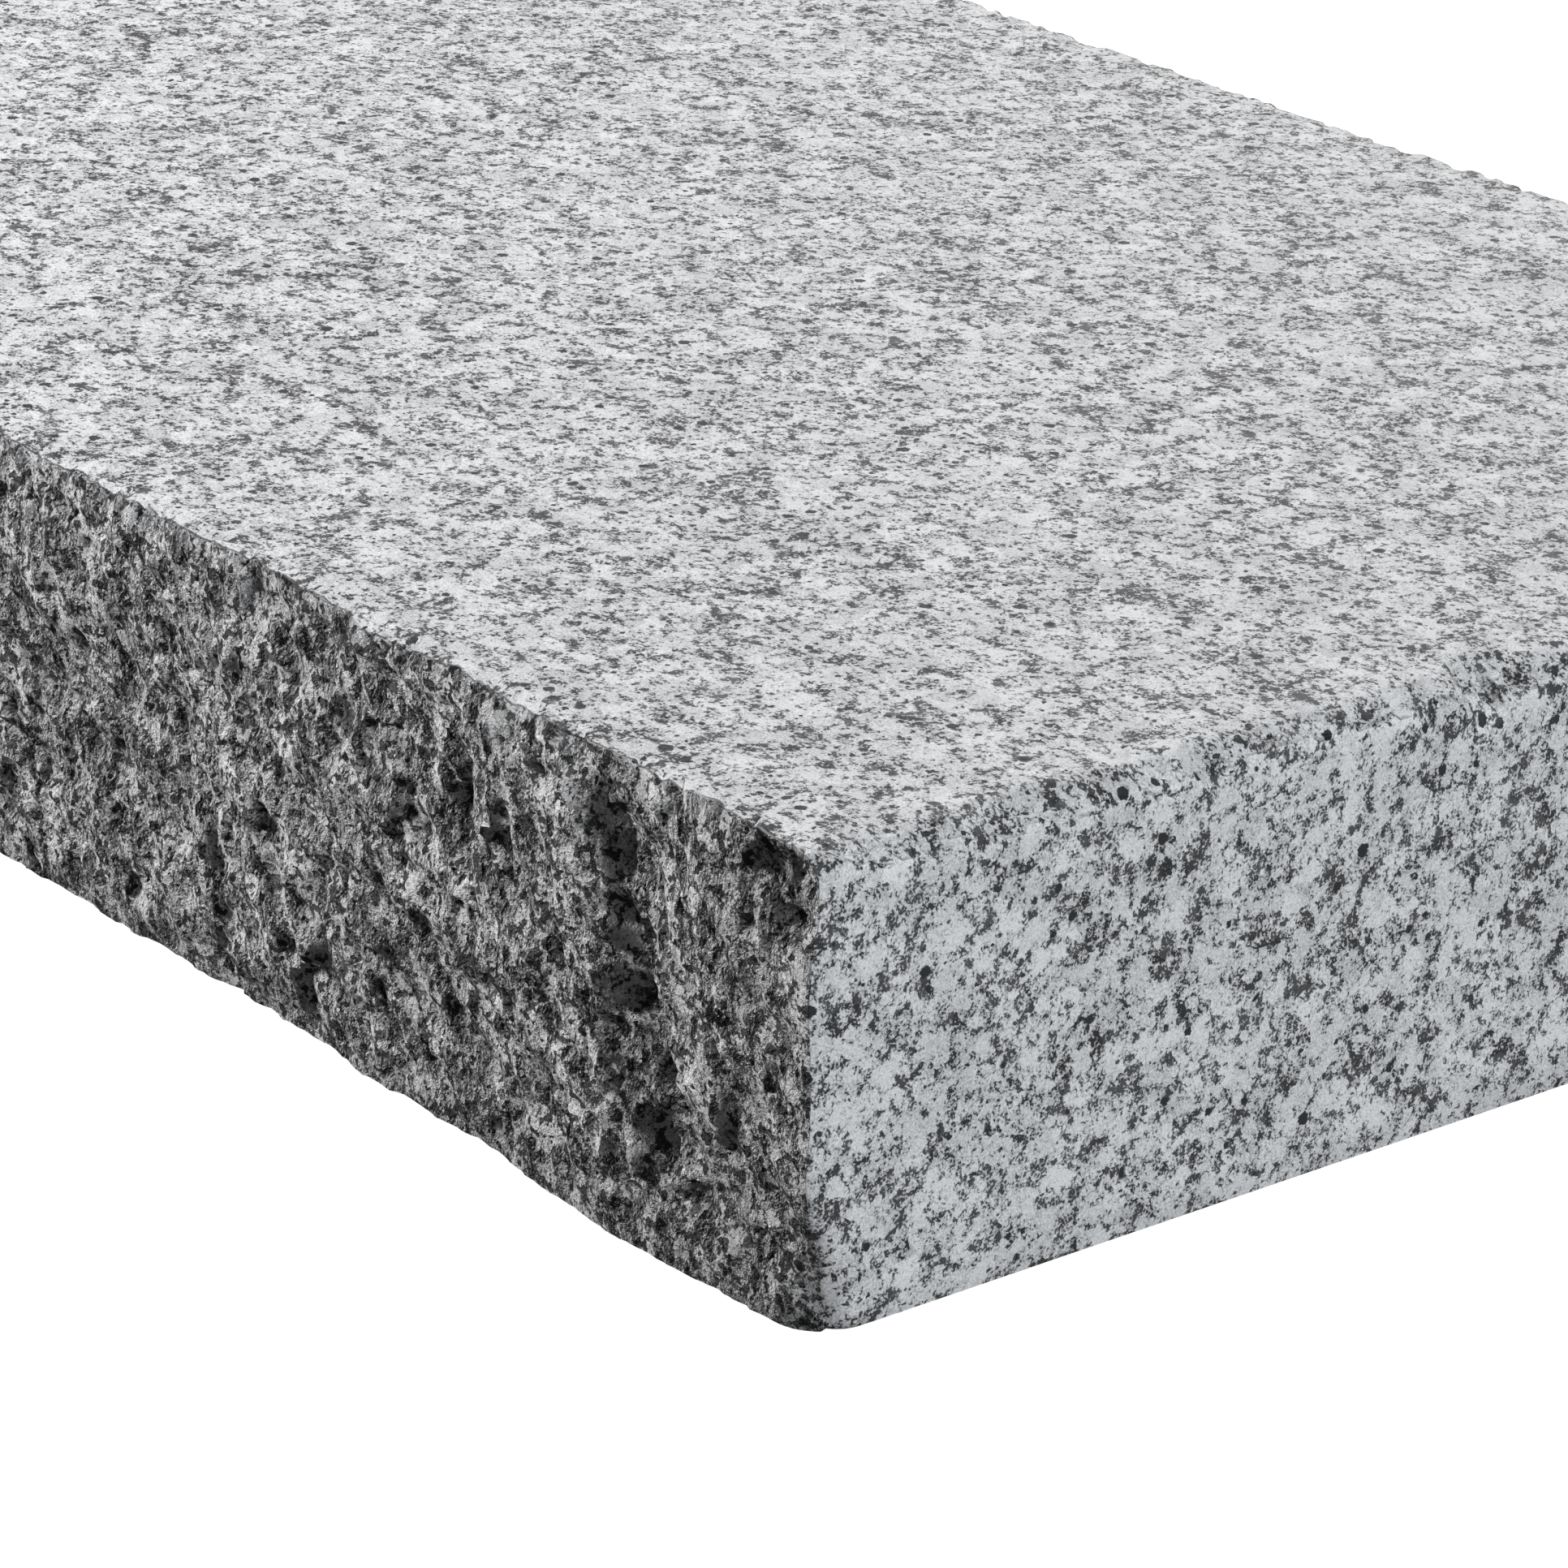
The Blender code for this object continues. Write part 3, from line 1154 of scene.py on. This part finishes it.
@dataclass
class Studio:
    """Floor, light and camera. Angles are in degrees and distances in metres."""

    corner: Vector
    azimuth: float = 51.21
    elevation: float = 22.25
    roll: float = 1.89
    lens: float = 130.4
    depth: float = 0.5210
    corner_right: float = 0.00331
    corner_down: float = 0.00694
    lamps: tuple[Lamp, ...] = (
        Lamp("key", (0.85, 0.10, 0.50), 4.0, 1.20, 147.0, (0.935, 0.965, 1.0)),
        Lamp("back", (-0.50, 0.80, 0.45), 1.3, 0.40, 8.0, (1.0, 0.985, 0.975)),
        Lamp("fill", (-0.62, -0.66, 0.45), 1.0, 0.17, 15.5, (1.0, 0.99, 1.0)),
    )

    def camera(self) -> bpy.types.Object:
        """Place a long lens that looks down on the worn corner.

        Returns:
            The camera.
        """
        turn, rise = math.radians(self.azimuth), math.radians(self.elevation)
        right = Vector((math.cos(turn), math.sin(turn), 0.0))
        level = Vector((math.sin(turn), -math.cos(turn), 0.0)) * math.cos(rise)
        back = level + Vector((0.0, 0.0, math.sin(rise)))
        axes = Matrix((right, back.cross(right), back)).transposed()
        axes = axes @ Matrix.Rotation(math.radians(self.roll), 3, "Z")
        offset = Vector((self.corner_right, -self.corner_down, -self.depth))
        data = bpy.data.cameras.new("camera")
        data.lens = self.lens
        data.clip_start = 0.01
        data.clip_end = 50.0
        camera = bpy.data.objects.new("camera", data)
        camera.matrix_world = axes.to_4x4()
        camera.location = self.corner - axes @ offset
        bpy.context.scene.collection.objects.link(camera)
        bpy.context.scene.camera = camera
        return camera

    def lamp(self, lamp: Lamp) -> bpy.types.Object:
        """Hang one lamp so that it looks at the slab.

        Args:
            lamp: Which lamp.

        Returns:
            The lamp's object.
        """
        data = bpy.data.lights.new(lamp.name, "AREA")
        data.size = lamp.size
        data.energy = lamp.watts
        data.color = lamp.colour
        hung = bpy.data.objects.new(lamp.name, data)
        towards = Vector(lamp.direction).normalized()
        hung.location = towards * lamp.distance
        hung.rotation_mode = "QUATERNION"
        hung.rotation_quaternion = towards.to_track_quat("Z", "Y")
        bpy.context.scene.collection.objects.link(hung)
        return hung

    def light(self) -> None:
        """Hang the lamps, and add an even light from all round."""
        for lamp in self.lamps:
            self.lamp(lamp)
        world = bpy.data.worlds.new("studio")
        world.use_nodes = True
        background = world.node_tree.nodes["Background"]
        background.inputs["Color"].default_value = (0.99, 0.995, 1.0, 1.0)
        background.inputs["Strength"].default_value = 0.10
        bpy.context.scene.world = world
        bpy.context.scene.view_settings.view_transform = "Standard"

    def floor(self) -> bpy.types.Object:
        """Make a plain pale floor with a pale wall round it.

        Returns:
            The floor, which lights nothing and shows in nothing's reflection.
        """
        bpy.ops.object.select_all(action="DESELECT")
        bpy.ops.mesh.primitive_cylinder_add(
            vertices=64, radius=6.0, depth=5.0, location=(0.0, 0.0, 2.5), end_fill_type="NGON"
        )
        floor = bpy.context.object
        floor.name = "floor"
        bpy.ops.object.transform_apply(location=True, rotation=True, scale=True)
        bpy.ops.object.mode_set(mode="EDIT")
        bpy.ops.mesh.flip_normals()
        bpy.ops.object.mode_set(mode="OBJECT")
        floor.visible_diffuse = False
        floor.visible_glossy = False
        floor.visible_shadow = False
        material = bpy.data.materials.new("pale_floor")
        shader = Shader(material)
        surface = shader.node(
            "ShaderNodeBsdfPrincipled",
            {},
            {
                "Base Color": (0.20, 0.20, 0.20, 1.0),
                "Roughness": 0.9,
                "Emission Color": (1.0, 1.0, 1.0, 1.0),
                "Emission Strength": 0.92,
            },
        )
        shader.node("ShaderNodeOutputMaterial", {}, {"Surface": surface.outputs[0]})
        floor.data.materials.append(material)
        return floor


def main() -> None:
    """Build the slab and its studio."""
    logging.basicConfig(level=logging.INFO, format="%(name)s: %(message)s")
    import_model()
    slab = GraniteSlab()
    piece = slab.build()
    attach(piece, slab.body)
    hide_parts(slab.node)
    triangles = sum(len(face.vertices) - 2 for face in piece.data.polygons)
    log.info("%s: %d points, %d triangles", piece.name, len(piece.data.vertices), triangles)

    head_recess = 0.0021
    corner = Vector((slab.high.x, slab.low.y + head_recess, slab.high.z))
    studio = Studio(corner)
    studio.camera()
    studio.light()
    studio.floor()


if __name__ == "__main__":
    main()
